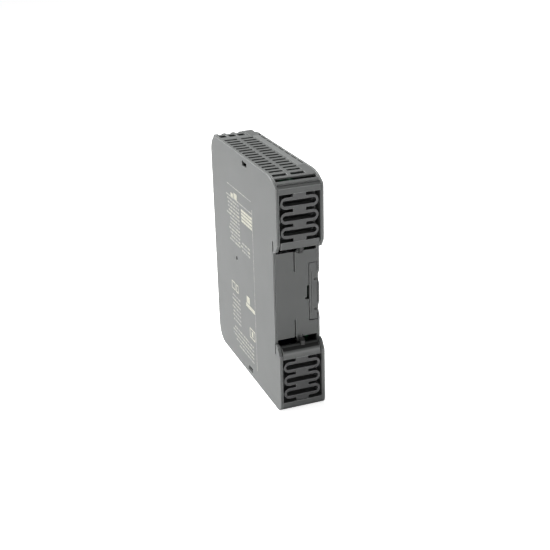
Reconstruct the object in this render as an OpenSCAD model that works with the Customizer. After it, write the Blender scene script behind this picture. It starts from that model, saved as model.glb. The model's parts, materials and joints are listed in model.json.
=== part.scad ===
// Slim power supply module that snaps onto a 35 mm top hat rail.
// Frame: origin at the centre of the rail seat. +X across the width, +Y towards the rail, +Z up.
// Outlines are drawn as [y, z] and extruded along X.

/* [Housing] */
// Width across both side covers
body_w = 18; // [18:0.1:18.4]
// Height from bottom to top
body_h = 90; // [90:0.5:92]
// Depth from the front face to the rear face
body_d = 72; // [72:0.5:74]
// Height of the rail centre above the bottom face
seat_height = 44.5; // [44.5:0.1:44.8]
// Wall thickness of the moulded frame
wall = 1.6; // [1.5:0.1:1.7]
// Thickness of the two side covers
cover_t = 0.75; // [0.7:0.05:0.75]
// Radius of the two front corners
front_r = 7; // [6.5:0.5:7]
// Radius of the lower rear corner
rear_r = 2.8; // [2.5:0.1:3.5]
// Radius of the sloping upper rear corner
slope_r = 14.7; // [14.5:0.1:15]

/* [Rail clamp] */
// Depth of the rail recess behind the rear face
seat_d = 4.4; // [4.4:0.1:4.6]
// Half height of the rail flange that the hooks hold
rail_half = 17.5; // [17.5:0.5:17.5]
// How far each hook reaches over the rail flange
hook_grip = 1; // [0.8:0.1:1.1]
// Distance between neighbouring spring rings
ring_pitch = 5.4; // [5.3:0.1:5.4]
// Height of one spring ring
ring_h = 4.35; // [4.3:0.05:4.4]
// Thickness of the spring bars
ring_bar = 1.2; // [1.2:0.05:1.4]

/* [Vents] */
// Distance between neighbouring cross slots
slot_pitch = 3.43; // [3.4:0.01:3.45]
// Width of a cross slot
slot_w = 1.6; // [1.4:0.1:1.8]
// Number of cross slots in a column
slot_n = 16; // [10:1:16]

/* [Terminals] */
// Distance between neighbouring poles
pole_pitch = 3.81; // [3.81:0.01:3.81]
// Radius of the screw shank
screw_r = 1; // [0.9:0.05:1]

/* [Hidden] */
$fn = 48;

y_rear = seat_d;
y_front = y_rear - body_d;
z_low = -seat_height;
z_high = z_low + body_h;
// The lower half mirrors the upper half about the middle height
mirror_z = z_low + z_high;
x_side = body_w / 2;
gap = 0.1;
over = 1;
// Outer faces of the frame, between the two side covers
x_right = x_side - cover_t - gap;
x_left = -x_side + cover_t + gap;
slope_y = y_rear - 9.55;
arc_steps = 10;

// Parting line between the frame and the flanges of the left cover
part_line_x = -5.1;
// Columns of vent slots, from and to
near_column = [2.25, 7.55];
far_column = [-4.4, 0.8];
slot_first = -2.1;

// Latches: front ends of the upper and lower windows, their width, and the nose
latch_y = [-29.5, -30.4];
latch_w = 4.4;
latch_z = 3.4;
nose_h = 1.6;
nose_t = 0.45;

// Rear face
window_half = 7.7;
plate_y = -1.8;
// Floor of the spring windows
window_y = -0.6;
lip_z = 17.8;
lip_rear_z = 21.6;
slit_z = 22.1;
slit_t = 0.7;
floor_z = 16.8;
foot_y0 = 0.4;
foot_y1 = 4.1;
foot_half = window_half - 0.35;
upper_foot_z = 19.4;
lower_foot_z = -18.7;
hook_x0 = -1.9;
hook_x1 = -0.3;

// Meander springs
ring_n = 3;
end_gap = 1.2;
spring_len = (ring_n - 1) * ring_pitch + ring_h + 2 * end_gap;
upper_spring_z = 22.3;
lower_spring_z = -23.2;
spring_y0 = 1;
spring_y1 = 4;
ring_half = 7.15;
ring_end_t = 0.85;
neck_half = 2.45;

// Terminal blocks
bay_x0 = -3.9;
bay_y = -56.5;
bay_z = 27;
block_play = 0.2;
block_y = y_front + 0.1;
block_back = -52;
block_top = z_high - 0.1;
block_z = bay_z + 0.3;
block_x0 = bay_x0 + block_play;
block_x1 = x_right - block_play;
poles = [for (i = [0:2]) 5.95 - i * pole_pitch];
screw_z = 36;
chamber_y = y_front + 2.2;
clamp_y = chamber_y + 0.25;
clamp_len = 4.3;
bar_y = clamp_y + 2.55;
bar_t = 0.7;
header_y = block_back + 0.5;

// Board, and the face that the components stand on
board_x0 = -5.4;
board_x1 = -3.8;
part_x = board_x1 + 0.05;
// Cover pins, as [y, z]
pins = [[-48.5, 40.5], [-48.5, -39.5], [-5, 40.5], [-5, -39.5]];
pipe_x = 4.2;
pipe_z = 21;
trimmer_z = 12.5;

function arc(cy, cz, r, a0, a1) =
    [for (i = [0:arc_steps]) [cy + r * cos(a0 + (a1 - a0) * i / arc_steps),
                              cz + r * sin(a0 + (a1 - a0) * i / arc_steps)]];

// Side outline of the housing, inset by t
function outline(t) = concat(
    arc(y_front + front_r, z_low + front_r, front_r - t, 180, 270),
    arc(y_rear - rear_r, z_low + rear_r, rear_r - t, 270, 360),
    arc(slope_y, z_high - slope_r, slope_r - t,
        acos((y_rear - slope_y - t) / (slope_r - t)), 90),
    arc(y_front + front_r, z_high - front_r, front_r - t, 90, 180));

// Extrudes a [y, z] shape from x0 to x1
module along_x(x0, x1) {
    translate([x0, 0, 0])
        rotate([90, 0, 90])
            linear_extrude(x1 - x0)
                children();
}

// Extrudes an [x, z] shape from y0 to y1
module along_y(y0, y1) {
    translate([0, y1, 0])
        rotate([90, 0, 0])
            linear_extrude(y1 - y0)
                children();
}

module body_prism(x0, x1, t = 0) {
    along_x(x0, x1)
        polygon(outline(t));
}

// Box from its low corner to its high corner
module block(a, b) {
    translate(a)
        cube(b - a);
}

// Cylinder along X from x0 to x1
module rod_x(y, z, x0, x1, r) {
    translate([x0, y, z])
        rotate([0, 90, 0])
            cylinder(h = x1 - x0, r = r);
}

// Cylinder along Y from y0 to y1
module rod_y(x, z, y0, y1, r) {
    translate([x, y1, z])
        rotate([90, 0, 0])
            cylinder(h = y1 - y0, r = r);
}

// Cylinder along Z from z0 to z1
module rod_z(x, y, z0, z1, r) {
    translate([x, y, z0])
        cylinder(h = z1 - z0, r = r);
}

module lower_half() {
    translate([0, 0, mirror_z])
        mirror([0, 0, 1])
            children();
}

// ---- housing ----

// Opening of the rail recess in a side wall, with its rounded lips and its narrow undercut
module recess_outline() {
    lip_mid = [2.4, 18.6];
    undercut = 0.2;
    polygon([
        [0, -lip_z], [-undercut, -lip_z], [-undercut, -slit_z], [slit_t, -slit_z], [slit_t, -lip_z],
        [lip_mid[0], -lip_mid[1]], [y_rear, -lip_rear_z], [y_rear + over, -lip_rear_z],
        [y_rear + over, lip_rear_z], [y_rear, lip_rear_z], lip_mid,
        [slit_t, lip_z], [slit_t, slit_z], [-undercut, slit_z], [-undercut, lip_z], [0, lip_z]]);
}

module spring_window(z0, z1) {
    block([-window_half, window_y, z0], [window_half, y_rear + over, z1]);
}

module cross_slots(column) {
    for (i = [0:slot_n - 1]) {
        y = slot_first - i * slot_pitch;
        block([column[0], y - slot_w / 2, z_high - 2 * wall],
              [column[1], y + slot_w / 2, z_high + over]);
    }
}

// Slots across the whole width of the sloping corner, with thin bars between them
module corner_slots() {
    side = 0.5;
    slot_d = 1.4;
    skin = 0.8;
    hollow_side = 0.8;
    // angle about the centre of the slope, and width, of each slot
    for (s = [[66.4, 1.8], [55.8, 1.05]])
        translate([0, slope_y, z_high - slope_r])
            rotate([s[0], 0, 0])
                block([x_left + side, slope_r - slot_d, -s[1] / 2],
                      [x_right - side, slope_r + over, s[1] / 2]);
    // hollow under the bars, open towards the inside of the housing
    intersection() {
        body_prism(x_left + hollow_side, x_right - hollow_side, skin);
        block([x_left, plate_y - 0.6, upper_spring_z + spring_len + 1.2], [x_right, y_rear, z_high]);
    }
}

// Tabs with the snap noses that show in the latch windows of the side covers
module latch_noses() {
    tab_t = 1;
    nose_z = 0.5;
    left_wall_x = part_line_x + 0.05;
    top_z = z_high - latch_z + nose_h - nose_z;
    low_z = z_low + latch_z - nose_h + nose_z;
    // on the right the tabs stand beside the cover
    block([x_right - tab_t, latch_y[0], top_z], [x_right, latch_y[0] + latch_w, z_high - 1]);
    block([x_right - tab_t, latch_y[1], z_low + 1], [x_right, latch_y[1] + latch_w, low_z]);
    block([x_right - tab_t, latch_y[0], top_z], [x_right + nose_t, latch_y[0] + latch_w, top_z + nose_z]);
    block([x_right - tab_t, latch_y[1], low_z - nose_z], [x_right + nose_t, latch_y[1] + latch_w, low_z]);
    // on the left they reach in under the flanges of the cover
    block([left_wall_x, latch_y[0], top_z], [left_wall_x + tab_t, latch_y[0] + latch_w, z_high - 1]);
    block([left_wall_x, latch_y[1], z_low + 1], [left_wall_x + tab_t, latch_y[1] + latch_w, low_z]);
    block([x_left - nose_t, latch_y[0], top_z],
          [left_wall_x + tab_t, latch_y[0] + latch_w, top_z + nose_z]);
    block([x_left - nose_t, latch_y[1], low_z - nose_z],
          [left_wall_x + tab_t, latch_y[1] + latch_w, low_z]);
}

// Windows in a side cover, a little larger than the noses
module latch_windows(x0, x1) {
    play = 0.2;
    top_z = z_high - latch_z;
    low_z = z_low + latch_z;
    block([x0, latch_y[0] - play, top_z - play], [x1, latch_y[0] + latch_w + play, top_z + nose_h + play]);
    block([x0, latch_y[1] - play, low_z - nose_h - play], [x1, latch_y[1] + latch_w + play, low_z + play]);
}

// Solid part of the frame behind the components
module rear_block() {
    spring_end = upper_spring_z + spring_len;
    block([x_left, plate_y, z_low], [x_right, 0, z_high]);
    block([x_left, plate_y, lip_z], [x_right, y_rear, spring_end + wall]);
    block([x_left, plate_y, z_low], [x_right, y_rear, -lip_z]);
}

// Cut-outs of the rail seat: room behind the hooks, spring fingers and the bus connector
module seat_openings() {
    hook_play = 0.3;
    room_top = 21.4;
    room_low = -20.6;
    finger_x = [0.6, 1];
    for (x = [[-window_half, hook_x0 - hook_play], [hook_x1 + hook_play, window_half]]) {
        block([x[0], plate_y - over, floor_z], [x[1], over, room_top]);
        block([x[0], plate_y - over, room_low], [x[1], over, -floor_z]);
    }
    // notch behind each hook, so that nothing stands over the seat
    for (s = [-1, 1])
        block([hook_x0 - hook_play, window_y, s * (floor_z + 0.1) - 0.7],
              [hook_x1 + hook_play, over, s * (floor_z + 0.1) + 0.7]);
    rod_y(0.4, floor_z + 0.9, plate_y - over, over, 1.15);
    block([finger_x[0], plate_y - over, 9], [finger_x[1], over, floor_z + 0.2]);
    block([finger_x[0], plate_y - over, -floor_z - 0.2], [finger_x[1], over, -9.7]);
    block([x_left - over, plate_y - over, -11.1], [-4.7, over, 11.75]);
    block([-4.8, plate_y - over, -2.5], [-4, over, 3]);
    block([-4.1, -0.8, -2.3], [-3.2, over, -1.3]);
}

module housing_frame() {
    color([0.4, 0.41, 0.41])
    difference() {
        union() {
            difference() {
                body_prism(x_left, x_right);
                body_prism(x_left - over, x_right + over, wall);
            }
            intersection() {
                body_prism(x_left, x_right);
                rear_block();
            }
            latch_noses();
        }
        // room for the terminal blocks and the front cover
        block([x_left - over, y_front - over, z_low - over], [x_right + over, bay_y, z_high + over]);
        // strips that the flanges of the left cover fill
        block([x_left - over, y_front, z_high - wall - 0.1], [part_line_x + 0.05, -9.5, z_high + over]);
        block([x_left - over, y_front, z_low - over], [part_line_x + 0.05, -5.5, z_low + wall + 0.1]);
        spring_window(floor_z, upper_spring_z + spring_len);
        spring_window(lower_spring_z - spring_len, -floor_z);
        along_x(x_left - over, x_right + over)
            recess_outline();
        seat_openings();
        cross_slots(near_column);
        cross_slots(far_column);
        lower_half() {
            cross_slots(near_column);
            cross_slots(far_column);
        }
        corner_slots();
    }
}

module cover_outline() {
    difference() {
        polygon(outline(0));
        recess_outline();
    }
}

module right_side_cover() {
    dimple_r = 0.85;
    dimple_d = 0.55;
    color([0.61, 0.62, 0.62])
    difference() {
        along_x(x_right + gap, x_side)
            cover_outline();
        latch_windows(x_right, x_side + over);
        rod_x(-40.3, 1.5, x_side - dimple_d, x_side + over, dimple_r);
    }
}

module left_side_cover() {
    dip_r = 3.6;
    dip = 1.1;
    dash_n = 7;
    dash_first = -11.1;
    dash_pitch = 6.3;
    dash_len = 5;
    color([0.5, 0.51, 0.51])
    difference() {
        union() {
            along_x(-x_side, x_left - gap)
                cover_outline();
            // flanges that wrap over the top and the bottom
            intersection() {
                difference() {
                    body_prism(-x_side, part_line_x - 0.05);
                    body_prism(-x_side - over, part_line_x + over, wall);
                }
                union() {
                    block([-x_side, bay_y + block_play, z_high - wall], [part_line_x, -9.7, z_high]);
                    block([-x_side, bay_y + block_play, z_low], [part_line_x, -5.7, z_low + wall]);
                }
            }
        }
        latch_windows(-x_side - over, x_left);
        // finger dips beside the bus connector cover
        for (z = [5.5, -6.8])
            rod_x(dip_r - dip, z, -x_side - over, x_left, dip_r);
        for (i = [0:dash_n - 1])
            block([-8.15, dash_first - i * dash_pitch - dash_len, z_high - 2 * wall],
                  [-7.5, dash_first - i * dash_pitch, z_high + over]);
    }
}

// Blind pins that locate the side covers on the frame
module side_cover_pins() {
    color([0.3, 0.3, 0.3])
        for (p = pins)
            rod_x(p[0], p[1], x_left + gap, x_right - gap, 1);
}

module front_cover() {
    shoulder_r = 2.5;
    side = 1;
    color([0.42, 0.43, 0.43])
    difference() {
        intersection() {
            union() {
                body_prism(x_left, x_right);
                // squarer shoulders beside the terminal blocks
                for (m = [0, 1])
                    translate([0, 0, m * mirror_z])
                        mirror([0, 0, m])
                            along_x(x_left, bay_x0)
                                polygon(concat(
                                    [[bay_y, bay_z], [bay_y, z_high]],
                                    arc(y_front + shoulder_r, z_high - shoulder_r, shoulder_r, 90, 180),
                                    [[y_front, bay_z]]));
            }
            block([x_left, y_front, z_low], [x_right, bay_y - gap, z_high]);
        }
        // terminal bays
        block([bay_x0, y_front - over, bay_z], [x_right + over, bay_y + over, z_high + over]);
        lower_half()
            block([bay_x0, y_front - over, bay_z], [x_right + over, bay_y + over, z_high + over]);
        // hollow inside, open towards the rear
        block([x_left + side, y_front + wall, mirror_z - bay_z + wall],
              [x_right - side, bay_y + over, bay_z - wall]);
        block([x_left + side, y_front + 2 * wall, z_low + 2 * wall],
              [bay_x0 - side, bay_y + over, z_high - 2 * wall]);
        // holes for the light pipe and the voltage trimmer
        rod_y(pipe_x, pipe_z, y_front - over, y_front + wall + over, 1.25);
        rod_y(pipe_x, trimmer_z, y_front - over, y_front + wall + over, 2.2);
        // seat of the marking strip
        block([-6.6, y_front - over, -17.1], [6.6, y_front + 0.8, -7.9]);
    }
}

module marking_strip() {
    strip_t = 0.6;
    color([0.85, 0.85, 0.84])
        block([-6.5, y_front + 0.8 - strip_t, -17], [6.5, y_front + 0.8, -8]);
}

// ---- rail clamp ----

// Foot plate with a hook tongue that reaches behind the rail flange. s is 1 above, -1 below.
// The edge that the rail meets is a round ramp of radius ramp_r.
module foot(edge_z, back_z, s, ramp_r) {
    tip = s * (rail_half - hook_grip);
    hook_y = 1.3;
    hook_t = 1.2;
    along_x(-foot_half, foot_half)
        polygon(concat(
            [[foot_y0, edge_z], [foot_y0, back_z], [foot_y1, back_z]],
            arc(foot_y1 - ramp_r, edge_z + s * ramp_r, ramp_r, 0, -s * 90)));
    along_x(hook_x0, hook_x1)
        polygon([[hook_y, tip], [hook_y, edge_z + s * 0.5], [hook_y + hook_t, edge_z + s * 0.5],
                 [hook_y + hook_t, tip + s * 1.2], [hook_y + 0.4, tip]]);
}

module upper_rail_foot() {
    color([0.33, 0.33, 0.33])
        foot(upper_foot_z, upper_spring_z, 1, 0.7);
}

module lower_rail_foot() {
    color([0.36, 0.37, 0.36])
        foot(lower_foot_z, lower_spring_z, -1, 3.2);
}

// Bar with round ends
module ring_shape(half, h) {
    square([2 * half - h, h], center = true);
    for (s = [-1, 1])
        translate([s * (half - h / 2), 0])
            circle(d = h);
}

// Three rings joined by necks, from z0 towards s
module meander(z0, s) {
    color([0.28, 0.28, 0.28])
    along_y(spring_y0, spring_y1)
        translate([0, z0])
            mirror([0, s < 0 ? 1 : 0])
                difference() {
                    union() {
                        for (i = [0:ring_n - 1])
                            translate([0, end_gap + ring_h / 2 + i * ring_pitch])
                                ring_shape(ring_half, ring_h);
                        translate([-neck_half, 0])
                            square([2 * neck_half, spring_len]);
                    }
                    for (i = [0:ring_n - 1])
                        translate([0, end_gap + ring_h / 2 + i * ring_pitch])
                            ring_shape(ring_half - ring_end_t, ring_h - 2 * ring_bar);
                }
}

module upper_rail_spring() {
    meander(upper_spring_z, 1);
}

module lower_rail_spring() {
    meander(lower_spring_z, -1);
}

module bus_connector_cover() {
    color([0.31, 0.32, 0.31])
    difference() {
        block([x_left + 0.15, plate_y + 0.2, -10.8], [-5, -0.1, 11.45]);
        for (z = [5.2, -6.7])
            block([-8, -0.8, z - 0.5], [-6.7, over, z + 0.5]);
        block([-5.9, -0.5, -8.5], [-5.65, over, 8.5]);
    }
}

// ---- terminals ----

module terminal_block() {
    ridge_r = 2.5;
    ridge_w = 1.3;
    valley_r = 4.6;
    chamber_half = 1.6;
    rear_top = z_high - wall - 0.5;
    step_y = bay_y - 0.3;
    difference() {
        intersection() {
            union() {
                along_x(block_x0, block_x1)
                    polygon(concat(
                        [[block_back, block_z], [block_back, rear_top], [step_y, rear_top],
                         [step_y, block_top]],
                        arc(block_y + valley_r, block_top - valley_r, valley_r, 90, 180),
                        [[block_y, block_z]]));
                // arched ridges between the poles
                for (x = [block_x1 - ridge_w / 2, poles[0] - pole_pitch / 2,
                          poles[1] - pole_pitch / 2, block_x0 + ridge_w / 2])
                    along_x(x - ridge_w / 2, x + ridge_w / 2)
                        polygon(concat(
                            [[step_y, block_z], [step_y, block_top]],
                            arc(block_y + ridge_r, block_top - ridge_r, ridge_r, 90, 180),
                            [[block_y, block_z]]));
            }
            block([block_x0, block_y, block_z], [block_x1, block_back, block_top]);
        }
        for (x = poles) {
            // screwdriver hole
            rod_y(x, screw_z, block_y - over, chamber_y + 0.2, 1.5);
            // chamber of the clamp
            block([x - chamber_half, chamber_y, screw_z - 2.1],
                  [x + chamber_half, chamber_y + 6.4, screw_z + 2.1]);
            // wire entry from above
            block([x - 1.4, bar_y + 0.8, screw_z], [x + 1.4, bar_y + 3.7, z_high + over]);
            // slots of the contact and of the header pin
            block([x - 0.9, bar_y - 0.1, screw_z - 3.4], [x + 0.9, bar_y + bar_t + 0.1, screw_z + 3.3]);
            block([x - 0.9, bar_y, screw_z - 3.4], [x + 0.9, block_back + over, screw_z - 2.5]);
            block([x - 0.75, -59, screw_z - 4.7], [x + 0.75, block_back + over, screw_z - 3.3]);
        }
    }
}

module terminal_contacts() {
    contact_half = 0.8;
    for (x = poles) {
        block([x - contact_half, bar_y, screw_z - 3.3], [x + contact_half, bar_y + bar_t, screw_z + 3.2]);
        block([x - contact_half, bar_y + bar_t, screw_z - 3.3],
              [x + contact_half, block_back - 0.6, screw_z - 2.6]);
    }
}

module terminal_screw(x) {
    head_r = 1.4;
    head_y = y_front + 0.7;
    drive = 0.4;
    drive_d = 0.6;
    difference() {
        union() {
            rod_y(x, screw_z, head_y, chamber_y - 0.1, head_r);
            rod_y(x, screw_z, chamber_y - 0.2, bar_y - 0.1, screw_r);
        }
        block([x - head_r, y_front, screw_z - drive / 2], [x + head_r, head_y + drive_d, screw_z + drive / 2]);
        block([x - drive / 2, y_front, screw_z - head_r], [x + drive / 2, head_y + drive_d, screw_z + head_r]);
    }
}

// Rising cage: the screw turns in its front wall and the rear wall lifts the wire
module terminal_clamp(x) {
    clamp_half = 1.45;
    clamp_t = 0.8;
    screw_play = 0.08;
    difference() {
        block([x - clamp_half, clamp_y, screw_z - 1.8], [x + clamp_half, clamp_y + clamp_len, screw_z + 1.8]);
        block([x - 1, clamp_y + clamp_t, screw_z - 3], [x + 1, clamp_y + clamp_len - clamp_t, screw_z + 3]);
        rod_y(x, screw_z, clamp_y - over, clamp_y + clamp_t + over, screw_r + screw_play);
    }
}

module pin_header() {
    header_d = 4;
    pin_z = screw_z - 4;
    pin_half = 0.4;
    difference() {
        block([part_x, header_y, screw_z - 6], [7.7, header_y + header_d, screw_z + 1]);
        for (x = poles)
            block([x - pin_half - 0.05, header_y - over, pin_z - pin_half - 0.05],
                  [x + pin_half + 0.05, header_y + header_d + over, pin_z + pin_half + 0.05]);
    }
    for (x = poles)
        block([x - pin_half, -58.5, pin_z - pin_half], [x + pin_half, header_y + header_d + 0.6, pin_z + pin_half]);
}

module output_terminal_block() {
    color([0.2, 0.21, 0.21])
        terminal_block();
}

module output_contacts() {
    color([0.75, 0.68, 0.5])
        terminal_contacts();
}

module output_pin_header() {
    color([0.15, 0.15, 0.15])
        pin_header();
}

module output_screw(i) {
    color([0.75, 0.75, 0.76])
        terminal_screw(poles[i]);
}

module output_clamp(i) {
    color([0.7, 0.7, 0.68])
        terminal_clamp(poles[i]);
}

module input_terminal_block() {
    color([0.2, 0.21, 0.21])
        lower_half()
            terminal_block();
}

module input_contacts() {
    color([0.75, 0.68, 0.5])
        lower_half()
            terminal_contacts();
}

module input_pin_header() {
    color([0.15, 0.15, 0.15])
        lower_half()
            pin_header();
}

module input_screw(i) {
    color([0.75, 0.75, 0.76])
        lower_half()
            terminal_screw(poles[i]);
}

module input_clamp(i) {
    color([0.7, 0.7, 0.68])
        lower_half()
            terminal_clamp(poles[i]);
}

// ---- electronics ----

module circuit_board() {
    color([0.1, 0.35, 0.2])
    difference() {
        block([board_x0, -50.5, -37.5], [board_x1, -3, 38.5]);
        for (p = [[-47.5, 27], [-6, 11], [-6, -2], [-47.5, -26]])
            rod_x(p[0], p[1], board_x0 - over, board_x1 + over, 1.3);
    }
}

// Ferrite pair with two windows beside a centre leg
module transformer_core() {
    window_z = 7.3;
    color([0.2, 0.2, 0.22])
    difference() {
        block([-1.5, -35, -10.5], [5.3, -17.4, 10.5]);
        block([-2.5, -32.6, -window_z], [6.3, -28.8, window_z]);
        block([-2.5, -23.6, -window_z], [6.3, -19.8, window_z]);
    }
}

// Layer round the centre leg, inset by side
module around_leg(side, z0, z1) {
    difference() {
        block([part_x + side, -32.4 + side, z0], [7.55 - side, -20 - side, z1]);
        block([-1.6, -28.9, z0 - over], [5.4, -23.5, z1 + over]);
    }
}

module transformer_bobbin() {
    color([0.1, 0.1, 0.1]) {
        around_leg(0, -7.1, -6.1);
        around_leg(0, 6.1, 7.1);
    }
}

module transformer_winding() {
    color([0.85, 0.75, 0.2])
        around_leg(0.4, -6, 6);
}

// Round can with a scored top and a rolled groove near its base
module can(x, y, z0, r, h) {
    groove = 0.4;
    difference() {
        rod_z(x, y, z0, z0 + h, r);
        translate([x, y, z0 + 2])
            rotate_extrude()
                translate([r - groove, 0])
                    square([over, 1]);
        block([x - r + 1, y - 0.15, z0 + h - 0.3], [x + r - 1, y + 0.15, z0 + h + over]);
    }
}

module input_capacitor() {
    color([0.12, 0.13, 0.2])
        can(1.5, -9.5, -36, 5.1, 22);
}

module output_capacitors() {
    color([0.12, 0.2, 0.16]) {
        can(0.4, -8, 16, 4, 17);
        can(0.4, -17.2, 16, 4, 17);
    }
}

module x_capacitor() {
    color([0.8, 0.6, 0.15])
        block([part_x, -33, -33], [2, -19.5, -24]);
}

// Toroid on its edge, axis along X
module choke_core() {
    color([0.25, 0.4, 0.3])
        difference() {
            rod_x(-43, -20, -1.5, 2.5, 5);
            rod_x(-43, -20, -2.5, 3.5, 2.7);
        }
}

module choke_windings() {
    turns = 6;
    turn_step = 19;
    color([0.72, 0.42, 0.2])
        translate([0.5, -43, -20])
            for (side = [0, 180])
                for (i = [0:turns - 1])
                    rotate([side + 42 + i * turn_step, 0, 0])
                        translate([0, 3.85, 0])
                            difference() {
                                block([-2.7, -1.75, -0.3], [2.7, 1.75, 0.3]);
                                block([-2.1, -1.2, -over], [2.1, 1.2, over]);
                            }
}

module output_choke() {
    color([0.3, 0.3, 0.32]) {
        rod_z(0.6, -25.5, 16, 17.3, 4.2);
        rod_z(0.6, -25.5, 17.3, 25, 3.4);
        rod_z(0.6, -25.5, 25, 26.3, 4.2);
    }
}

module fuse() {
    color([0.35, 0.25, 0.18])
        rod_z(-1.4, -45, -13, -4, 2.2);
}

module varistor() {
    color([0.2, 0.35, 0.6])
        rod_x(-40, -32, -3, 0.2, 3.8);
}

module bridge_rectifier() {
    color([0.1, 0.1, 0.1])
        block([part_x, -15, -9], [1, -5.5, -4]);
}

module switching_transistor() {
    color([0.08, 0.08, 0.08])
        block([part_x, -40.2, 0], [4.8, -37.7, 10]);
}

// Folded sheet: a back plate with a fin at each end
module heatsink(y, z0, z1) {
    sheet = 1.4;
    fin = 5.4;
    block([part_x, y, z0], [7, y + sheet, z1]);
    for (z = [z0, z1 - sheet])
        block([part_x, y - fin, z], [7, y + 0.1, z + sheet]);
}

module transistor_heatsink() {
    color([0.7, 0.71, 0.72])
        heatsink(-37.6, -3, 13);
}

module output_diode() {
    color([0.08, 0.08, 0.08])
        block([part_x, -38.2, 19], [4.8, -35.7, 29]);
}

module diode_heatsink() {
    color([0.7, 0.71, 0.72])
        heatsink(-35.6, 16, 33);
}

module optocoupler() {
    color([0.9, 0.9, 0.88])
        block([part_x, -16.5, 9.5], [-0.8, -11, 13.5]);
}

module controller_chip() {
    color([0.08, 0.08, 0.08])
        block([part_x, -47, 15.5], [-2.3, -42.5, 21]);
}

module trimmer_body() {
    color([0.15, 0.3, 0.6])
        block([part_x, -54, trimmer_z - 2.5], [6.9, -48.5, trimmer_z + 2.5]);
}

module trimmer_rotor() {
    drive = 0.6;
    color([0.9, 0.88, 0.8])
    difference() {
        rod_y(pipe_x, trimmer_z, y_front + 0.9, -54.1, 1.9);
        block([pipe_x - 3, y_front, trimmer_z - drive / 2],
              [pipe_x + 3, y_front + 1.8, trimmer_z + drive / 2]);
    }
}

module status_led() {
    color([0.3, 0.7, 0.3])
        block([part_x, -53.5, pipe_z - 1.6], [5.6, -49.8, pipe_z + 1.6]);
}

module light_pipe() {
    color([0.85, 0.95, 0.85])
        rod_y(pipe_x, pipe_z, y_front + 0.1, -53.6, 1.15);
}

housing_frame();
right_side_cover();
left_side_cover();
front_cover();
upper_rail_foot();
lower_rail_foot();
upper_rail_spring();
lower_rail_spring();
bus_connector_cover();
marking_strip();
output_terminal_block();
output_contacts();
output_pin_header();
output_screw(0);  // output_screw_1
output_screw(1);  // output_screw_2
output_screw(2);  // output_screw_3
output_clamp(0);  // output_clamp_1
output_clamp(1);  // output_clamp_2
output_clamp(2);  // output_clamp_3
input_terminal_block();
input_contacts();
input_pin_header();
input_screw(0);  // input_screw_1
input_screw(1);  // input_screw_2
input_screw(2);  // input_screw_3
input_clamp(0);  // input_clamp_1
input_clamp(1);  // input_clamp_2
input_clamp(2);  // input_clamp_3
circuit_board();
transformer_core();
transformer_bobbin();
transformer_winding();
input_capacitor();
output_capacitors();
x_capacitor();
choke_core();
choke_windings();
output_choke();
fuse();
varistor();
bridge_rectifier();
switching_transistor();
transistor_heatsink();
output_diode();
diode_heatsink();
optocoupler();
controller_chip();
trimmer_body();
trimmer_rotor();
status_led();
light_pipe();
side_cover_pins();
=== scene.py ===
# %% [markdown]
# # A slim power supply module for a top hat rail
#
# The object is a narrow box of moulded plastic that snaps onto a 35 mm rail. Its frame, covers, rail
# springs, plug-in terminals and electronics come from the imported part, already in place. This lesson
# gives them their looks: softened edges, a finish for each real material, the print on the side
# cover, and a few pieces whose true shape is rounder than their mechanical model.

import json
import math
from random import Random

import bmesh
import bpy
import numpy as np
from mathutils import Matrix, Vector

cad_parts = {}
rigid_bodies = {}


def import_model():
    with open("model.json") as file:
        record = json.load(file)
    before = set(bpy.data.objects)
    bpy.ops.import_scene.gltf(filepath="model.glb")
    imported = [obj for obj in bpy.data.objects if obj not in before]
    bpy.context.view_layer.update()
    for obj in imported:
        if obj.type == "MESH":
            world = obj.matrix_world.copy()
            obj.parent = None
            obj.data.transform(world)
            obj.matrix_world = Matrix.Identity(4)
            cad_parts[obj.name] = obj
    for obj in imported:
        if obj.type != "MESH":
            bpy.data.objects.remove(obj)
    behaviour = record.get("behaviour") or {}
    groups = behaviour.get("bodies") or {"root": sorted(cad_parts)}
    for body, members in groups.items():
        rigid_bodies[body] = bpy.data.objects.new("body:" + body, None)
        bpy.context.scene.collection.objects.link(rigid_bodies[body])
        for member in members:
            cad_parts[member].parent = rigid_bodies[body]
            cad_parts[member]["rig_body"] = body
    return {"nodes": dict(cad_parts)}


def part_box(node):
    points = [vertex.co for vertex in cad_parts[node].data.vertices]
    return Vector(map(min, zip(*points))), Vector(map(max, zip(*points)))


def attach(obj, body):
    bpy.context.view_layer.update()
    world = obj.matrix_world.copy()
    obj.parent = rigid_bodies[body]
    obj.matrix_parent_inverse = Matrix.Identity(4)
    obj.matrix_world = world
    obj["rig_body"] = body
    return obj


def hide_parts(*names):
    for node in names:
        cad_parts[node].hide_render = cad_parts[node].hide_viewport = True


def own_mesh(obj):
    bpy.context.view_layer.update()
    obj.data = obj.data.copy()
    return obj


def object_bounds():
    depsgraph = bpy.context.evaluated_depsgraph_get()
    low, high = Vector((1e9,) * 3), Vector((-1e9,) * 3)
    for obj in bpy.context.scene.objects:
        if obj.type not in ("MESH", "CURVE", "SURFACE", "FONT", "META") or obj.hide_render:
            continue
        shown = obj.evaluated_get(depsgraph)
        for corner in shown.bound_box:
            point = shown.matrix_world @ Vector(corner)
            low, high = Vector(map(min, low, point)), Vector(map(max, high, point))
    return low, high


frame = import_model()
cad_box = [list(corner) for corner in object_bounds()]
MM = 0.001
print("the part measures", [round((b - a) / MM, 1) for a, b in zip(*cad_box)], "mm")

# %% [markdown]
# ## Four helpers
#
# Colours are easiest to read as hex values, but the renderer works in linear light, so one function
# turns one into the other. A second adds a shader node with its settings and its links in one call,
# which keeps each material short enough to read. A third starts a material and hands over its shader.
# The last puts a mesh, a light or a camera into the scene as an object.


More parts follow.
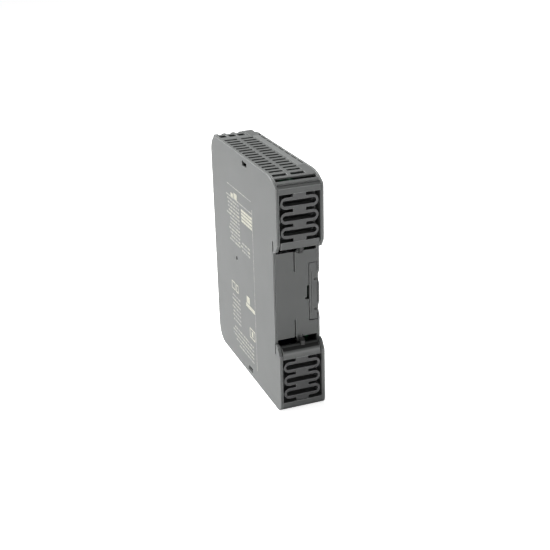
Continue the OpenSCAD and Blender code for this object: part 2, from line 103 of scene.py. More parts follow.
# %% Colour and node helpers
def linear(hex_value):
    """A hex colour in linear light: each channel c becomes ((c + 0.055) / 1.055) ** 2.4,
    or c / 12.92 when it is dark."""
    channels = [int(hex_value[i:i + 2], 16) / 255 for i in (1, 3, 5)]
    return tuple(c / 12.92 if c <= 0.04045 else ((c + 0.055) / 1.055) ** 2.4 for c in channels) + (1.0,)


def add(tree, kind, links=None, settings=None, **values):
    """Adds a node of that kind. links feed its inputs from other sockets, values set the inputs
    by name, and settings set its own properties. An underscore in a name stands for a space."""
    made = tree.nodes.new(kind)
    for name, value in (settings or {}).items():
        setattr(made, name, value)
    for name, value in values.items():
        made.inputs[name.replace("_", " ")].default_value = value
    for name, socket in (links or {}).items():
        tree.links.new(socket, made.inputs[name])
    return made


def linked(name, data):
    """A new object that holds the mesh, light or camera, linked to the scene."""
    made = bpy.data.objects.new(name, data)
    bpy.context.scene.collection.objects.link(made)
    return made


def new_material(name, **values):
    """A material with one Principled shader, whose inputs are set from values, and the place of
    each point on the object."""
    material = bpy.data.materials.new(name)
    material.use_nodes = True
    tree = material.node_tree
    shader = tree.nodes["Principled BSDF"]
    for key, value in values.items():
        shader.inputs[key.replace("_", " ")].default_value = value
    place = add(tree, "ShaderNodeTexCoord").outputs["Object"]
    return material, tree, shader, place


# %% [markdown]
# ## Moulded plastic
#
# The housing is polyamide, injection moulded in a spark eroded tool. The eroded steel leaves a fine
# even grain on the plastic, and the melt leaves broad, very faint clouds of tone. An image of the
# surface would do, but it would need unwrapping and would blur close up. Two noise patterns on
# Object coordinates need neither: a fine one drives the bump and the roughness, and a broad one
# moves the colour by a few per cent. True grain is about 0.05 mm and would not show, so it is drawn
# at 0.3 mm.


# %% A moulded plastic
def moulded_plastic(name, colour, roughness=0.5, grain_mm=0.3, depth_mm=0.012, tone=0.1, ior=1.53):
    """Colour is multiplied by 1 - tone .. 1 + tone with broad noise; height follows fine noise."""
    material, tree, shader, place = new_material(name, IOR=ior)
    clouds = add(tree, "ShaderNodeTexNoise", {"Vector": place}, Scale=1 / (14 * MM), Detail=3.0)
    light, dark = [tuple(c * k for c in linear(colour)[:3]) + (1.0,) for k in (1 + tone, 1 - tone)]
    blend = add(tree, "ShaderNodeMix", {"Factor": clouds.outputs["Fac"]}, {"data_type": "RGBA"})
    blend.inputs[6].default_value = dark
    blend.inputs[7].default_value = light
    grain = add(tree, "ShaderNodeTexNoise", {"Vector": place}, Scale=1 / (grain_mm * MM), Detail=2.0)
    gloss = add(tree, "ShaderNodeMapRange", {"Value": grain.outputs["Fac"]},
                To_Min=roughness - 0.06, To_Max=roughness + 0.06)
    bump = add(tree, "ShaderNodeBump", {"Height": grain.outputs["Fac"]},
               Strength=0.6, Distance=depth_mm * MM)
    tree.links.new(blend.outputs[2], shader.inputs["Base Color"])
    tree.links.new(gloss.outputs["Result"], shader.inputs["Roughness"])
    tree.links.new(bump.outputs["Normal"], shader.inputs["Normal"])
    return material


# The covers get a lighter grey than the frame, which paints part of the light on the lit side cover.
COVER = moulded_plastic("polyamide_spark_eroded_cover", "#6a6c6b", roughness=0.5)
# Each edge material is a paler, glossier copy of its face material. On the bevel faces it paints a
# highlight.
COVER_EDGE_HIGHLIGHT = moulded_plastic("polyamide_cover_painted_edge_highlight", "#828483", roughness=0.38)
FRAME = moulded_plastic("polyamide_spark_eroded_frame", "#545655", roughness=0.52)
FRAME_EDGE_HIGHLIGHT = moulded_plastic("polyamide_frame_painted_edge_highlight", "#777978", roughness=0.38)
SPRING = moulded_plastic("acetal_satin_spring", "#474848", roughness=0.42, depth_mm=0.006)
SPRING_EDGE_HIGHLIGHT = moulded_plastic("acetal_spring_painted_edge_highlight", "#6a6b6b", roughness=0.32, depth_mm=0.004)
FOOT = moulded_plastic("acetal_satin_foot", "#565857", roughness=0.4, depth_mm=0.006)
FOOT_EDGE_HIGHLIGHT = moulded_plastic("acetal_foot_painted_edge_highlight", "#8d8f8e", roughness=0.3, depth_mm=0.004)
TERMINAL = moulded_plastic("polyamide_glass_filled_terminal", "#5a5c5b", roughness=0.5)
TERMINAL_EDGE_HIGHLIGHT = moulded_plastic("polyamide_terminal_painted_edge_highlight", "#8a8c8b", roughness=0.4)
STRIP = moulded_plastic("polycarbonate_white_strip", "#d4d4cf", roughness=0.4, tone=0.02, ior=1.585)
EPOXY = moulded_plastic("epoxy_transfer_moulded_black", "#1c1c1e", roughness=0.45, tone=0.12)
PALE_EPOXY = moulded_plastic("epoxy_transfer_moulded_pale", "#d9d6cc", roughness=0.45, tone=0.04)
TRIMMER_BLUE = moulded_plastic("polyester_moulded_blue", "#1f4f9c", roughness=0.35, tone=0.06)
ROTOR = moulded_plastic("polyamide_natural_rotor", "#d8cfae", roughness=0.42, tone=0.05)
CAPACITOR_BOX = moulded_plastic("polypropylene_box_capacitor", "#c79a3a", roughness=0.4, tone=0.06)
FUSE_BROWN = moulded_plastic("phenolic_moulded_fuse_body", "#5a3a28", roughness=0.4, tone=0.12)
DIPPED_BLUE = moulded_plastic("epoxy_dip_coated_varistor", "#2b5aa0", roughness=0.3, grain_mm=0.8,
                              depth_mm=0.03)
COATED_GREEN = moulded_plastic("parylene_coated_toroid", "#3f6b50", roughness=0.4, grain_mm=0.6,
                               tone=0.08)
print("made", len(bpy.data.materials), "moulded finishes")

# %% [markdown]
# ## Metals
#
# The clamp screws and cages are steel with a thin zinc plate: bright, slightly blue, and uneven in
# gloss where the plating has a grain. The contacts are brass under matt tin. The heatsinks are
# rolled aluminium sheet, and rolling leaves fine lines along the sheet. Each is a metal shader at
# full metallic, and what sets them apart is their roughness pattern: cloudy, or stretched in lines.


# %% Plated and rolled metals
def metal(name, colour, roughness, spread, cell_mm, stretch=(1, 1, 1)):
    """Roughness runs from roughness - spread to roughness + spread with noise of that cell size,
    which a Mapping node stretches along the direction in which the metal was worked."""
    material, tree, shader, place = new_material(name, Metallic=1.0, Base_Color=linear(colour))
    scaled = add(tree, "ShaderNodeMapping", {"Vector": place}, Scale=stretch)
    pattern = add(tree, "ShaderNodeTexNoise", {"Vector": scaled.outputs[0]},
                  Scale=1 / (cell_mm * MM), Detail=4.0)
    gloss = add(tree, "ShaderNodeMapRange", {"Value": pattern.outputs["Fac"]},
                To_Min=roughness - spread, To_Max=roughness + spread)
    bump = add(tree, "ShaderNodeBump", {"Height": pattern.outputs["Fac"]},
               Strength=0.4, Distance=0.01 * MM)
    tree.links.new(gloss.outputs["Result"], shader.inputs["Roughness"])
    tree.links.new(bump.outputs["Normal"], shader.inputs["Normal"])
    return material


ZINC = metal("steel_zinc_plated_screw", "#c9ccd0", 0.32, 0.1, 0.7)
CAGE = metal("steel_zinc_plated_stamped_cage", "#b4b6b8", 0.4, 0.1, 0.9)
TIN = metal("brass_matt_tin_plated", "#cfc6a8", 0.38, 0.08, 0.6)
ALUMINIUM = metal("aluminium_rolled_sheet", "#c8cbce", 0.36, 0.12, 0.5, stretch=(1, 1, 0.05))
print("made the metals")

# %% [markdown]
# ## Finishes of the electronics
#
# What stands on the board is only seen through the vent slots, but each kind still has its own
# look: solder mask over copper tracks, sintered ferrite with dark specks, polyester tape wound in
# layers, enamelled wire laid side by side, and a shrink sleeve. Each of these is a pattern with a
# real pitch, so a wave, cell or band texture on Object coordinates draws it directly.


# %% Board, ferrite, tape, wire and sleeve
def two_tone(name, first, second, roughness, pattern_kind, pattern_settings, bump_mm=0.0,
             low=0.4, high=0.6, **values):
    """Colour goes from first to second where the pattern rises from low to high. The pattern
    lifts the surface too, by bump_mm."""
    material, tree, shader, place = new_material(name, Roughness=roughness)
    pattern = add(tree, pattern_kind, {"Vector": place}, pattern_settings, **values)
    height = pattern.outputs.get("Fac") or pattern.outputs["Distance"]
    edge = add(tree, "ShaderNodeMapRange", {"Value": height}, From_Min=low, From_Max=high)
    blend = add(tree, "ShaderNodeMix", {"Factor": edge.outputs["Result"]}, {"data_type": "RGBA"})
    blend.inputs[6].default_value = linear(first)
    blend.inputs[7].default_value = linear(second)
    bump = add(tree, "ShaderNodeBump", {"Height": height}, Strength=0.7, Distance=bump_mm * MM)
    tree.links.new(blend.outputs[2], shader.inputs["Base Color"])
    tree.links.new(bump.outputs["Normal"], shader.inputs["Normal"])
    return material


BOARD = two_tone("epoxy_glass_board_solder_mask", "#0b2f1d", "#164a2e", 0.3, "ShaderNodeTexVoronoi",
                 {"feature": "DISTANCE_TO_EDGE"}, 0.03, 0.04, 0.07, Scale=1 / (4 * MM))
FERRITE = two_tone("manganese_zinc_ferrite_sintered", "#2b2c30", "#3b3c40", 0.6, "ShaderNodeTexNoise",
                   {}, 0.02, Scale=1 / (0.5 * MM), Detail=4.0)
TAPE = two_tone("polyester_tape_wound", "#c9a820", "#e0c348", 0.25, "ShaderNodeTexWave",
                {"bands_direction": "Z"}, 0.03, Scale=0.05 / MM, Distortion=0.4)
WIRE = two_tone("copper_enamelled_wire", "#8e4a1c", "#c67a3c", 0.25, "ShaderNodeTexWave",
                {"bands_direction": "Z"}, 0.08, Scale=0.5 / MM)
SLEEVE = two_tone("pvc_shrink_sleeve", "#161a2c", "#2a3052", 0.22, "ShaderNodeTexNoise",
                  {}, 0.02, 0.35, 0.75, Scale=1 / (3 * MM), Detail=2.0)
CAN_TOP = two_tone("aluminium_drawn_can_end", "#9a9c9e", "#b9bbbd", 0.35, "ShaderNodeTexNoise",
                   {}, 0.01, Scale=1 / (0.6 * MM), Detail=3.0)
CAN_TOP.node_tree.nodes["Principled BSDF"].inputs["Metallic"].default_value = 1.0
# Ink is pad printed: thin, slightly uneven, and warm white on the grey cover.
INK = two_tone("pad_printed_ink_warm_white", "#b5b4a6", "#c9c8b8", 0.55, "ShaderNodeTexNoise",
               {}, 0.0, Scale=1 / (1.2 * MM), Detail=3.0)
FAINT_INK = two_tone("pad_printed_ink_worn", "#8f9190", "#b0b0a4", 0.55, "ShaderNodeTexNoise",
                     {}, 0.0, Scale=1 / (1.6 * MM), Detail=3.0)


def clear_moulding(name, colour, roughness, transmission, ior):
    """A clear plastic: light passes through, and a fine noise keeps its gloss from being perfect."""
    material, tree, shader, place = new_material(
        name, Base_Color=linear(colour), Transmission_Weight=transmission, IOR=ior)
    haze = add(tree, "ShaderNodeTexNoise", {"Vector": place}, Scale=1 / (0.8 * MM))
    gloss = add(tree, "ShaderNodeMapRange", {"Value": haze.outputs["Fac"]},
                To_Min=roughness, To_Max=roughness + 0.08)
    tree.links.new(gloss.outputs["Result"], shader.inputs["Roughness"])
    return material


LIGHT_PIPE = clear_moulding("polycarbonate_clear_light_pipe", "#bfe8c8", 0.08, 0.7, 1.585)
LED = clear_moulding("epoxy_diffused_green_led", "#4fae5c", 0.2, 0.3, 1.5)
print("made", len(bpy.data.materials), "materials in all")

# %% [markdown]
# ## Softened edges
#
# A moulding never has knife edges: the tool has small radii. The imported shapes are exact but sharp.
# A Bevel modifier rounds every edge that turns by more than 30 degrees, and it gives the new faces a
# material of their own, a paler plastic that paints a highlight along each rounded edge. The imported
# meshes are loose triangles, so a copy is merged and its flat faces joined first; then the bevel
# follows real edges only.


# %% Soften the visible mouldings
def finished_copy(node, radius_mm, face_material, edge_material, segments=2):
    """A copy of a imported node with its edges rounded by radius, applied to the mesh.
    It rides where the node rides, and takes its place."""
    source = frame["nodes"][node]
    mesh = source.data.copy()
    mesh.materials.clear()
    mesh.materials.append(face_material)
    mesh.materials.append(edge_material)
    work = bmesh.new()
    work.from_mesh(mesh)
    bmesh.ops.remove_doubles(work, verts=work.verts, dist=0.002 * MM)
    bmesh.ops.dissolve_limit(work, angle_limit=math.radians(0.3), verts=work.verts, edges=work.edges)
    for face in work.faces:
        face.material_index = 0
        face.smooth = True
    work.to_mesh(mesh)
    work.free()
    if "custom_normal" in mesh.attributes:
        mesh.attributes.remove(mesh.attributes["custom_normal"])
    piece = linked(node + "_finished", mesh)
    bevel = piece.modifiers.new("rounded_edges", "BEVEL")
    bevel.width = radius_mm * MM
    bevel.segments = segments
    bevel.limit_method = "ANGLE"
    bevel.angle_limit = math.radians(30)
    bevel.use_clamp_overlap = False
    bevel.harden_normals = True
    # The bevel faces take the second slot, the paler edge material: a painted highlight on each rounded
    # edge.
    bevel.material = 1
    shown = piece.evaluated_get(bpy.context.evaluated_depsgraph_get())
    piece.data = bpy.data.meshes.new_from_object(shown)
    piece.modifiers.clear()
    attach(piece, source["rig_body"])
    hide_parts(node)
    return piece


SOFTENED = {
    "housing_frame": (0.14, FRAME, FRAME_EDGE_HIGHLIGHT), "right_side_cover": (0.16, COVER, COVER_EDGE_HIGHLIGHT),
    "left_side_cover": (0.16, COVER, COVER_EDGE_HIGHLIGHT), "front_cover": (0.25, FRAME, FRAME_EDGE_HIGHLIGHT),
    "upper_rail_foot": (0.12, FOOT, FOOT_EDGE_HIGHLIGHT), "lower_rail_foot": (0.12, FOOT, FOOT_EDGE_HIGHLIGHT),
    "upper_rail_spring": (0.15, SPRING, SPRING_EDGE_HIGHLIGHT), "lower_rail_spring": (0.15, SPRING, SPRING_EDGE_HIGHLIGHT),
    "bus_connector_cover": (0.12, FRAME, FRAME_EDGE_HIGHLIGHT), "marking_strip": (0.15, STRIP, STRIP),
    "output_terminal_block": (0.15, TERMINAL, TERMINAL_EDGE_HIGHLIGHT),
    "input_terminal_block": (0.15, TERMINAL, TERMINAL_EDGE_HIGHLIGHT),
    "trimmer_rotor": (0.12, ROTOR, ROTOR), "trimmer_body": (0.2, TRIMMER_BLUE, TRIMMER_BLUE),
    "transformer_core": (0.2, FERRITE, FERRITE), "x_capacitor": (0.3, CAPACITOR_BOX, CAPACITOR_BOX),
    "switching_transistor": (0.15, EPOXY, EPOXY), "output_diode": (0.15, EPOXY, EPOXY),
    "bridge_rectifier": (0.2, EPOXY, EPOXY), "controller_chip": (0.12, EPOXY, EPOXY),
    "optocoupler": (0.12, PALE_EPOXY, PALE_EPOXY), "transistor_heatsink": (0.12, ALUMINIUM, ALUMINIUM),
    "diode_heatsink": (0.12, ALUMINIUM, ALUMINIUM),
}
finished = {}
for node, (radius_mm, face_material, edge_material) in SOFTENED.items():
    finished[node] = finished_copy(node, radius_mm, face_material, edge_material)
    print(node, "has", len(finished[node].data.polygons), "faces after softening")

# %% [markdown]
# ## Screws, clamps and contacts
#
# These are small machined and stamped pieces. Turned edges are broken by 0.05 to 0.1 mm, so they
# get the same softening with a smaller radius.

# %% Metal pieces of the terminals
for side in ("output", "input"):
    for pole in (1, 2, 3):
        for kind, finish in (("screw", ZINC), ("clamp", CAGE)):
            node = f"{side}_{kind}_{pole}"
            finished[node] = finished_copy(node, 0.07, finish, finish)
    node = side + "_contacts"
    finished[node] = finished_copy(node, 0.08, TIN, TIN)
print("softened", len(finished), "pieces in all")


# %% [markdown]
# The hook of each foot is the same moulding as the foot, but it sits in the gap beside the rail, and its
# faces get a near-black material: painted shade for the gap.

# %% Darken the hooks
HOOK_SHADE = moulded_plastic("acetal_hook_painted_shade", "#232423", roughness=0.35, depth_mm=0.004)
for half in ("upper", "lower"):
    foot = finished[half + "_rail_foot"]
    foot.data.materials.append(HOOK_SHADE)
    inner_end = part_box(half + "_rail_spring")[0 if half == "upper" else 1].z
    edge = abs(inner_end) - 3.2 * MM
    for face in foot.data.polygons:
        # Faces near the middle and short of the spring's end are the hook: they take the painted shade.
        if abs(face.center.z) < edge and abs(face.center.x) < 3 * MM:
            face.material_index = 2
print("darkened the hooks")

# %% [markdown]
# ## The springs
#
# Each meander spring is one moulding between the frame and a foot. Each softened spring gets a
# mesh of its own.

# %% Give each spring a mesh of its own
for half, fixed_corner, along in (("upper", 1, 1), ("lower", 0, -1)):
    low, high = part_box(half + "_rail_spring")
    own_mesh(finished[half + "_rail_spring"])

# %% [markdown]
# ## Turned shapes
#
# Capacitor cans, the choke's drum, the dipped varistor, the fuse and the light pipe are all round.
# A profile of radius against height, swept round an axis, gives each in one step, and lets a can
# have its rolled groove and rounded shoulder, which a plain cylinder lacks.


# %% A surface of revolution
def fillet(corner, start, end, steps=6):
    """Points of a curve from start to end that bends towards corner: a quadratic blend of the three."""
    t = np.linspace(0, 1, steps)[:, None]
    return (1 - t) ** 2 * np.array(start) + 2 * t * (1 - t) * np.array(corner) + t ** 2 * np.array(end)


def smooth_piece(name, points, quads):
    """An object from a grid of points and quads. Doubled points are merged, and the faces are
    turned outward and smoothed."""
    mesh = bpy.data.meshes.new(name)
    mesh.from_pydata(points.reshape(-1, 3).tolist(), [], quads.reshape(-1, 4).tolist())
    work = bmesh.new()
    work.from_mesh(mesh)
    bmesh.ops.remove_doubles(work, verts=work.verts, dist=0.001 * MM)
    bmesh.ops.recalc_face_normals(work, faces=work.faces)
    for face in work.faces:
        face.smooth = True
    work.to_mesh(mesh)
    work.free()
    return linked(name, mesh)


def revolved(name, profile, centre, axis, sides=64):
    """Each profile point (radius, height) becomes a circle of points:
    centre + height * axis + radius * (u * cos a + v * sin a), with a from 0 to a full turn."""
    profile = np.array(profile, float) * MM
    along = np.array(axis, float)
    u = np.roll(along, 1)
    v = np.cross(along, u)
    angle = np.linspace(0, 2 * math.pi, sides, endpoint=False)
    round_part = u[None, :] * np.cos(angle)[:, None] + v[None, :] * np.sin(angle)[:, None]
    radius, height = profile[:, 0, None, None], profile[:, 1, None, None]
    points = np.array(centre)[None, None] + height * along + radius * round_part
    rows, count = len(profile), sides
    grid = np.arange(rows * count).reshape(rows, count)
    quads = np.stack([grid[:-1], np.roll(grid[:-1], -1, 1), np.roll(grid[1:], -1, 1), grid[1:]], -1)
    piece = smooth_piece(name, points, quads)
    piece.data.set_sharp_from_angle(angle=math.radians(40))
    return piece


def placed(piece, node, *materials):
    """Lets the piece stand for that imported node, on the node's body and in its material slot."""
    for material in materials:
        piece.data.materials.append(material)
    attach(piece, frame["nodes"][node]["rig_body"])
    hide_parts(node)
    return piece


# %% [markdown]
# ## Capacitor cans
#
# A drawn aluminium can stands in a plastic sleeve. The sleeve is shrunk over a rolled groove near
# the base and over the shoulder at the top, and leaves the bare end of the can showing.


# %% Capacitor cans
def can_profile(radius, height):
    """Up the sleeve with a rolled groove above the base, over a rounded shoulder, then a sunk bare end."""
    groove = [(radius, 1.8), (radius - 0.35, 2.3), (radius - 0.35, 2.8), (radius, 3.3)]
    shoulder = fillet((radius, height), (radius, height - 0.9), (radius - 0.9, height))
    top = [(radius - 1.1, height - 0.12), (0.001, height - 0.12)]
    return [(0.001, 0), (radius - 0.3, 0), (radius, 0.3), *groove, *shoulder.tolist(), *top]


def bare_end(piece, material_index, above):
    """Faces whose middle lies above that height take the bare metal."""
    middle = np.array([face.center.z for face in piece.data.polygons])
    indices = np.where(middle > above, material_index, 0).astype(np.int32)
    piece.data.polygons.foreach_set("material_index", indices)


def foot_of(node):
    """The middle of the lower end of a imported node."""
    low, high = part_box(node)
    return (low.x + high.x) / 2, (low.y + high.y) / 2, low.z


def round_node(node, count=1):
    """The foot points of count equal upright solids along Y, and their radius and height in mm."""
    low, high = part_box(node)
    width = high.x - low.x
    ends = np.linspace(high.y - width / 2, low.y + width / 2, count)
    return [((low.x + high.x) / 2, y, low.z) for y in ends], width / 2 / MM, (high.z - low.z) / MM


for node, count in (("input_capacitor", 1), ("output_capacitors", 2)):
    places, radius, height = round_node(node, count)
    for number, place in enumerate(places, 1):
        can = revolved(f"{node}_can_{number}", can_profile(radius, height), place, (0, 0, 1))
        placed(can, node, SLEEVE, CAN_TOP)
        bare_end(can, 1, place[2] + (height - 0.2) * MM)
        print(can.name, "is", round(radius * 2, 1), "mm across and", round(height, 1), "mm tall")

# %% [markdown]
# ## Drum choke, fuse, varistor and light pipe
#
# The choke is a ferrite bobbin filled with wire, so its middle bulges with rows of turns: a row of
# half circles in the profile. The fuse is a cap with rounded rims. The varistor is a disc dipped in
# epoxy, which draws back to a lens shape. The light pipe ends in a shallow dome that spreads the light.

# %% Drum choke, fuse, varistor and light pipe
low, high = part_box("output_choke")
choke_r, choke_h = (high.x - low.x) / 2 / MM, (high.z - low.z) / MM
flange = 1.3
turn = np.linspace(0, math.pi, 6)[1:-1]
turn_count = 12
pitch = (choke_h - 2 * flange) / turn_count
wire_rows = [(choke_r - 0.95 + 0.28 * math.sin(a), flange + (i + 0.5 - math.cos(a) / 2) * pitch)
             for i in range(turn_count) for a in turn]
drum = [(0.001, 0), (choke_r - 0.3, 0), (choke_r, 0.3), (choke_r, flange - 0.2), (choke_r - 0.2, flange),
        *wire_rows, (choke_r - 0.2, choke_h - flange), (choke_r, choke_h - flange + 0.2),
        (choke_r, choke_h - 0.3), (choke_r - 0.3, choke_h), (0.001, choke_h)]
choke = revolved("output_choke_drum", drum, foot_of("output_choke"), (0, 0, 1))
placed(choke, "output_choke", FERRITE, WIRE)
middle_z = np.array([(f.center.z - low.z) / MM for f in choke.data.polygons])
wound = (middle_z > flange) & (middle_z < choke_h - flange)
choke.data.polygons.foreach_set("material_index", wound.astype(np.int32))

low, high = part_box("fuse")
fuse_r, fuse_h = (high.x - low.x) / 2 / MM, (high.z - low.z) / MM
fuse_profile = [(0.001, 0), *fillet((fuse_r, 0), (fuse_r - 0.5, 0), (fuse_r, 0.5)).tolist(),
                *fillet((fuse_r, fuse_h), (fuse_r, fuse_h - 0.6), (fuse_r - 0.6, fuse_h)).tolist(),
                (0.001, fuse_h)]
placed(revolved("fuse_body", fuse_profile, foot_of("fuse"), (0, 0, 1)), "fuse", FUSE_BROWN)

low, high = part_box("varistor")
disc_r, disc_t = (high.y - low.y) / 2 / MM, (high.x - low.x) / MM
disc = [(0.001, 0), *fillet((disc_r, 0), (disc_r * 0.6, 0.1), (disc_r, disc_t / 2)).tolist(),
        *fillet((disc_r, disc_t), (disc_r, disc_t / 2 + 0.01), (disc_r * 0.6, disc_t - 0.1)).tolist(),
        (0.001, disc_t)]
placed(revolved("varistor_disc", disc, (low.x, (low.y + high.y) / 2, (low.z + high.z) / 2), (1, 0, 0)),
       "varistor", DIPPED_BLUE)

low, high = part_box("light_pipe")
pipe_r, pipe_l = (high.x - low.x) / 2 / MM, (high.y - low.y) / MM
pipe = [(0.001, 0), *fillet((pipe_r, 0), (pipe_r * 0.4, 0.05), (pipe_r, 0.5)).tolist(),
        (pipe_r, pipe_l), (0.001, pipe_l)]
placed(revolved("light_pipe_lens", pipe, ((low.x + high.x) / 2, low.y, (low.z + high.z) / 2), (0, 1, 0)),
       "light_pipe", LIGHT_PIPE)
print("made the drum choke, fuse, varistor and light pipe")

# %% [markdown]
# ## Turns of the mains choke
#
# Six turns of enamelled wire pass through the ring on each side. A turn is a tube carried along a
# rounded rectangle round the ring's section. Each turn is worked out once as a loop of centres with
# a circle of wire about it, then turned about the ring's axis.


# %% Turns of wire on the ring
def wire_turn(half_x, half_r, corner, wire_r, path_steps=40, sides=8):
    """Centres follow a superellipse |x/a|^4 + |r/b|^4 = 1. The wire's circle stands on the path's
    normal and on the third axis, so point = centre + wire_r * (normal * cos b + third * sin b)."""
    a = np.linspace(0, 2 * math.pi, path_steps, endpoint=False)
    centre = np.stack([half_x * np.sign(np.cos(a)) * np.abs(np.cos(a)) ** corner,
                       half_r * np.sign(np.sin(a)) * np.abs(np.sin(a)) ** corner, 0 * a], -1)
    along = np.roll(centre, -1, 0) - np.roll(centre, 1, 0)
    along /= np.linalg.norm(along, axis=1, keepdims=True)
    third = np.array([0.0, 0.0, 1.0])
    normal = np.cross(along, third)
    b = np.linspace(0, 2 * math.pi, sides, endpoint=False)[None, :, None]
    return centre[:, None] + wire_r * (normal[:, None] * np.cos(b) + third * np.sin(b))


def ring_of_turns(name, node, first_deg, step_deg, per_side):
    """Turns are placed about the ring's axis X at first + i * step degrees, on both sides of the ring."""
    low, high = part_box(node)
    centre = np.array((low + high) / 2)
    core_low, core_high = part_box("choke_core")
    half_x = (core_high.x - core_low.x) / 2 + 0.35 * MM
    ring_r = 3.85 * MM
    one = wire_turn(half_x, 1.45 * MM, 0.5, 0.26 * MM)
    rows, sides = one.shape[:2]
    points, quads = [], []
    for side in (0, 180):
        for i in range(per_side):
            angle = math.radians(side + first_deg + i * step_deg)
            out = np.array([0, math.cos(angle), math.sin(angle)])
            across = np.array([0, -math.sin(angle), math.cos(angle)])
            grid = np.arange(rows * sides).reshape(rows, sides) + rows * sides * len(points)
            down, right = np.roll(grid, -1, 0), np.roll(grid, -1, 1)
            quads.append(np.stack([grid, right, np.roll(down, -1, 1), down], -1))
            points.append(centre + one[..., :1] * np.array([1, 0, 0]) + (ring_r + one[..., 1:2]) * out
                          + one[..., 2:3] * across)
    return smooth_piece(name, np.concatenate(points), np.concatenate(quads))


placed(ring_of_turns("choke_wire_turns", "choke_windings", 42, 19, 6), "choke_windings", WIRE)
print("wound the mains choke")

# %% [markdown]
# ## Materials of the pieces that stay as packed
#
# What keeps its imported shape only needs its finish. The object's material slots are filled, and the
# mesh is left alone.

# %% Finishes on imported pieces
AS_PACKED = {
    "circuit_board": BOARD, "transformer_bobbin": EPOXY, "transformer_winding": TAPE,
    "choke_core": COATED_GREEN, "output_pin_header": EPOXY, "input_pin_header": EPOXY,
    "status_led": LED, "side_cover_pins": FRAME,
}
for node, material in AS_PACKED.items():
    shown = frame["nodes"][node]
    shown.data.materials.clear()
    shown.data.materials.append(material)
print("gave", len(AS_PACKED), "packed pieces their finish")

# %% [markdown]
# ## Print on the side cover
#
# The cover carries a printed panel: two rules, a light badge, small lines of text and a few symbols.
# Here it is generic: bars, dashes and plain shapes that carry no words. Ink is a layer about 0.01 mm
# thick. Painting it in the material would need a mask for each mark, so each mark is a very thin
# plate on the cover instead, and all plates are one mesh.


# %% Printed marks
def plates(name, rectangles, x0, x1):
    """Each rectangle (y0, y1, z0, z1) in mm becomes a closed plate from x0 to x1: 8 corners and 6 faces."""
    r = np.array(rectangles, float) * MM
    count = len(r)
    corners = np.empty((count, 8, 3))
    for k in range(8):
        corners[:, k, 0] = (x0, x1)[k & 1]
        corners[:, k, 1] = r[:, (k >> 1) & 1]
        corners[:, k, 2] = r[:, 2 + (k >> 2)]
    faces = np.array([[0, 4, 6, 2], [1, 3, 7, 5], [0, 1, 5, 4], [2, 6, 7, 3], [0, 2, 3, 1], [4, 5, 7, 6]])
    quads = (faces[None] + 8 * np.arange(count)[:, None, None]).reshape(-1, 4)
    mesh = bpy.data.meshes.new(name)
    mesh.from_pydata(corners.reshape(-1, 3).tolist(), [], quads.tolist())
    return linked(name, mesh)


def dashed_lines(y0, y1, z_top, z_low, pitch, height, longest, seed):
    """Rows of dashes from y0 to y1, pitch apart: word lengths and gaps come from a seeded generator."""
    draw = Random(seed)
    found = []
    z = z_top
    while z - height > z_low:
        y = y1
        stop = y0 + (y1 - y0) * draw.uniform(0, 0.35)
        while y > stop:
            length = min(draw.uniform(0.35, 1) * longest, y - y0)
            found.append((y - length, y, z - height, z))
            y -= length + 0.45
        z -= pitch
    return found


def frame_of(y0, y1, z0, z1, line):
    """The four sides of a rectangle, drawn with a line of that width."""
    return [(y0, y1, z0, z0 + line), (y0, y1, z1 - line, z1), (y0, y0 + line, z0 + line, z1 - line),
            (y1 - line, y1, z0 + line, z1 - line)]


cover_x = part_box("right_side_cover")[1].x
ink_x = (cover_x - 0.05 * MM, cover_x + 0.012 * MM)
badge = [(-32.8, -20.9, z, z + 0.95) for z in (19.1, 20.45, 21.8, 23.15)]
bold = badge + [(-41, -37.4, 25.9, 28.2), (-44.6, -41.6, 25.9, 27.4)]
symbols = frame_of(-27.6, -21.6, -27.2, -22.9, 0.5) + [(-25.4, -23.8, -26.2, -23.9)]
symbols += [(-31, -21, -15.1, -13.6), (-30, -26.5, -13.2, -10.4)]
for y0, y1 in ((-47.8, -43.6), (-42.6, -39.9)):
    symbols += frame_of(y0, y1, -13.8, -10.4, 0.45)
small = dashed_lines(-50.3, -35.2, 24.6, 6.6, 1.5, 0.75, 3.2, 3)
small += dashed_lines(-35.4, -24.2, 10.6, 5.8, 1.5, 0.75, 3.0, 5)
faint = dashed_lines(-48.2, -23.6, -30, -39, 1.7, 0.7, 3.4, 7)
faint += dashed_lines(-48, -38, -16, -28, 1.8, 0.7, 3.0, 8)
rules = [(-48.6, -21.3, 30.1, 30.45), (-50.2, -20.2, 25.4, 25.9), (-20.6, -20.25, -39, 27.4)]
for name, marks, material in (("printed_badge_and_symbols", bold + symbols, INK),
                              ("printed_small_lines", small, FAINT_INK),
                              ("printed_rules_and_notes", rules + faint, FAINT_INK)):
    print_layer = plates(name, marks, *ink_x)
    print_layer.data.materials.append(material)
    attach(print_layer, "root")
    print(name, "has", len(marks), "marks")

# %% [markdown]
# ## Floor, light and camera
#
# The module stands on a seamless white sweep under soft boxes. The sweep glows towards the lens, so
# it stays pure white to the edge of the frame and keeps only a trace of contact shadow, while the
# module itself sees a dimmer studio: that keeps the vents and the spring windows dark. The key light
# stands beside the plain cover. A second one, low behind the module, lights its rear but not the
# walls of the vents, and a third over the front lights the top.

# %% White sweep
floor_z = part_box("housing_frame")[0].z
floor_mesh = bpy.data.meshes.new("sweep")
reach = 6.0
floor_mesh.from_pydata([(-reach, -reach, floor_z), (reach, -reach, floor_z), (reach, reach, floor_z),
                        (-reach, reach, floor_z)], [], [(0, 1, 2, 3)])
floor = linked("sweep", floor_mesh)
paper, paper_tree, paper_shader, _ = new_material(
    "white_sweep_paper", Roughness=0.9, Base_Color=linear("#f4f4f4"), Emission_Color=(1, 1, 1, 1),
    Specular_IOR_Level=0.0)


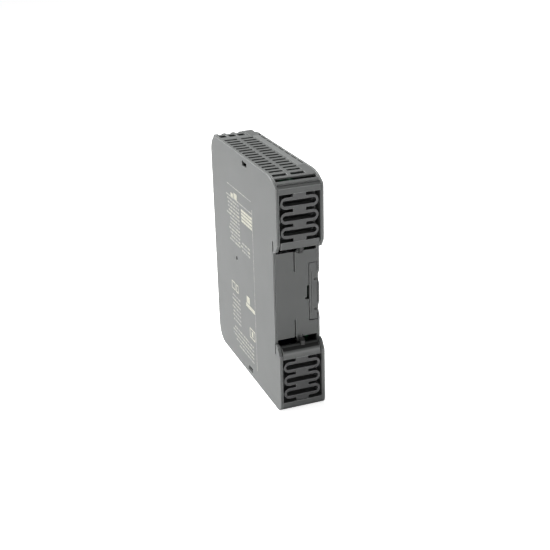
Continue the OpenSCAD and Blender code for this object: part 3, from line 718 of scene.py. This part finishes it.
def seen_or_lit(tree, seen, lit):
    """A strength that is seen for rays from the lens and lit for the light that falls on the module."""
    ray = add(tree, "ShaderNodeLightPath").outputs["Is Camera Ray"]
    return add(tree, "ShaderNodeMapRange", {"Value": ray}, To_Min=lit, To_Max=seen).outputs["Result"]


paper_tree.links.new(seen_or_lit(paper_tree, 0.85, 0.05), paper_shader.inputs["Emission Strength"])
floor_mesh.materials.append(paper)

world = bpy.data.worlds.new("studio")
world.use_nodes = True
sky = world.node_tree.nodes["Background"]
sky.inputs["Color"].default_value = (1, 1, 1, 1)
world.node_tree.links.new(seen_or_lit(world.node_tree, 1.0, 0.12), sky.inputs["Strength"])
bpy.context.scene.world = world
print("floor at", round(floor_z / MM, 1), "mm")


# %% Soft boxes
def soft_box(name, place, target, size, watts):
    """A rectangular area light at place that faces target; size is its width and height in metres."""
    light = bpy.data.lights.new(name, "AREA")
    light.energy = watts
    light.shape = "RECTANGLE"
    light.size, light.size_y = size
    lamp = linked(name, light)
    lamp.location = place
    lamp.rotation_euler = (Vector(target) - Vector(place)).to_track_quat("-Z", "Y").to_euler()


middle = (Vector(cad_box[0]) + Vector(cad_box[1])) / 2
soft_box("key_beside_the_cover", middle + Vector((0.7, -0.1, 0.2)), middle, (0.45, 0.45), 2.2)
soft_box("low_behind_the_module", middle + Vector((-0.1, 0.75, -0.01)), middle, (0.4, 0.06), 1.8)
soft_box("over_the_front", middle + Vector((0.1, -0.3, 0.6)), middle, (0.25, 0.25), 7.5)
print("three soft boxes")

# %% [markdown]
# The camera stands behind the module, to the left, and a little above it. Its direction is given by
# an azimuth about Z and an elevation, and it is rolled by a degree and a half. A 65 mm lens on a
# 36 mm wide sensor gives the convergence of the upright edges.

# %% Camera
azimuth, elevation, roll = math.radians(159.44), math.radians(22.24), math.radians(-1.52)
level = math.cos(elevation)
back = Vector((math.sin(azimuth) * level, -math.cos(azimuth) * level, math.sin(elevation)))
level_right = Vector((0, 0, 1)).cross(back).normalized()
level_up = back.cross(level_right)
right = math.cos(roll) * level_right + math.sin(roll) * level_up
up = math.cos(roll) * level_up - math.sin(roll) * level_right
lens = bpy.data.cameras.new("camera")
lens.sensor_width = 36
lens.lens = 65.39
lens.clip_start = 0.01
camera = linked("camera", lens)
turned = Matrix((right, up, back)).transposed().to_4x4()
camera.matrix_world = Matrix.Translation((0.1237, 0.3078, 0.1436)) @ turned
bpy.context.scene.camera = camera
bpy.context.scene.view_settings.view_transform = "Standard"
print("camera", round((camera.location - middle).length, 3), "m from the middle of the module")

# %% The end
bpy.context.view_layer.update()
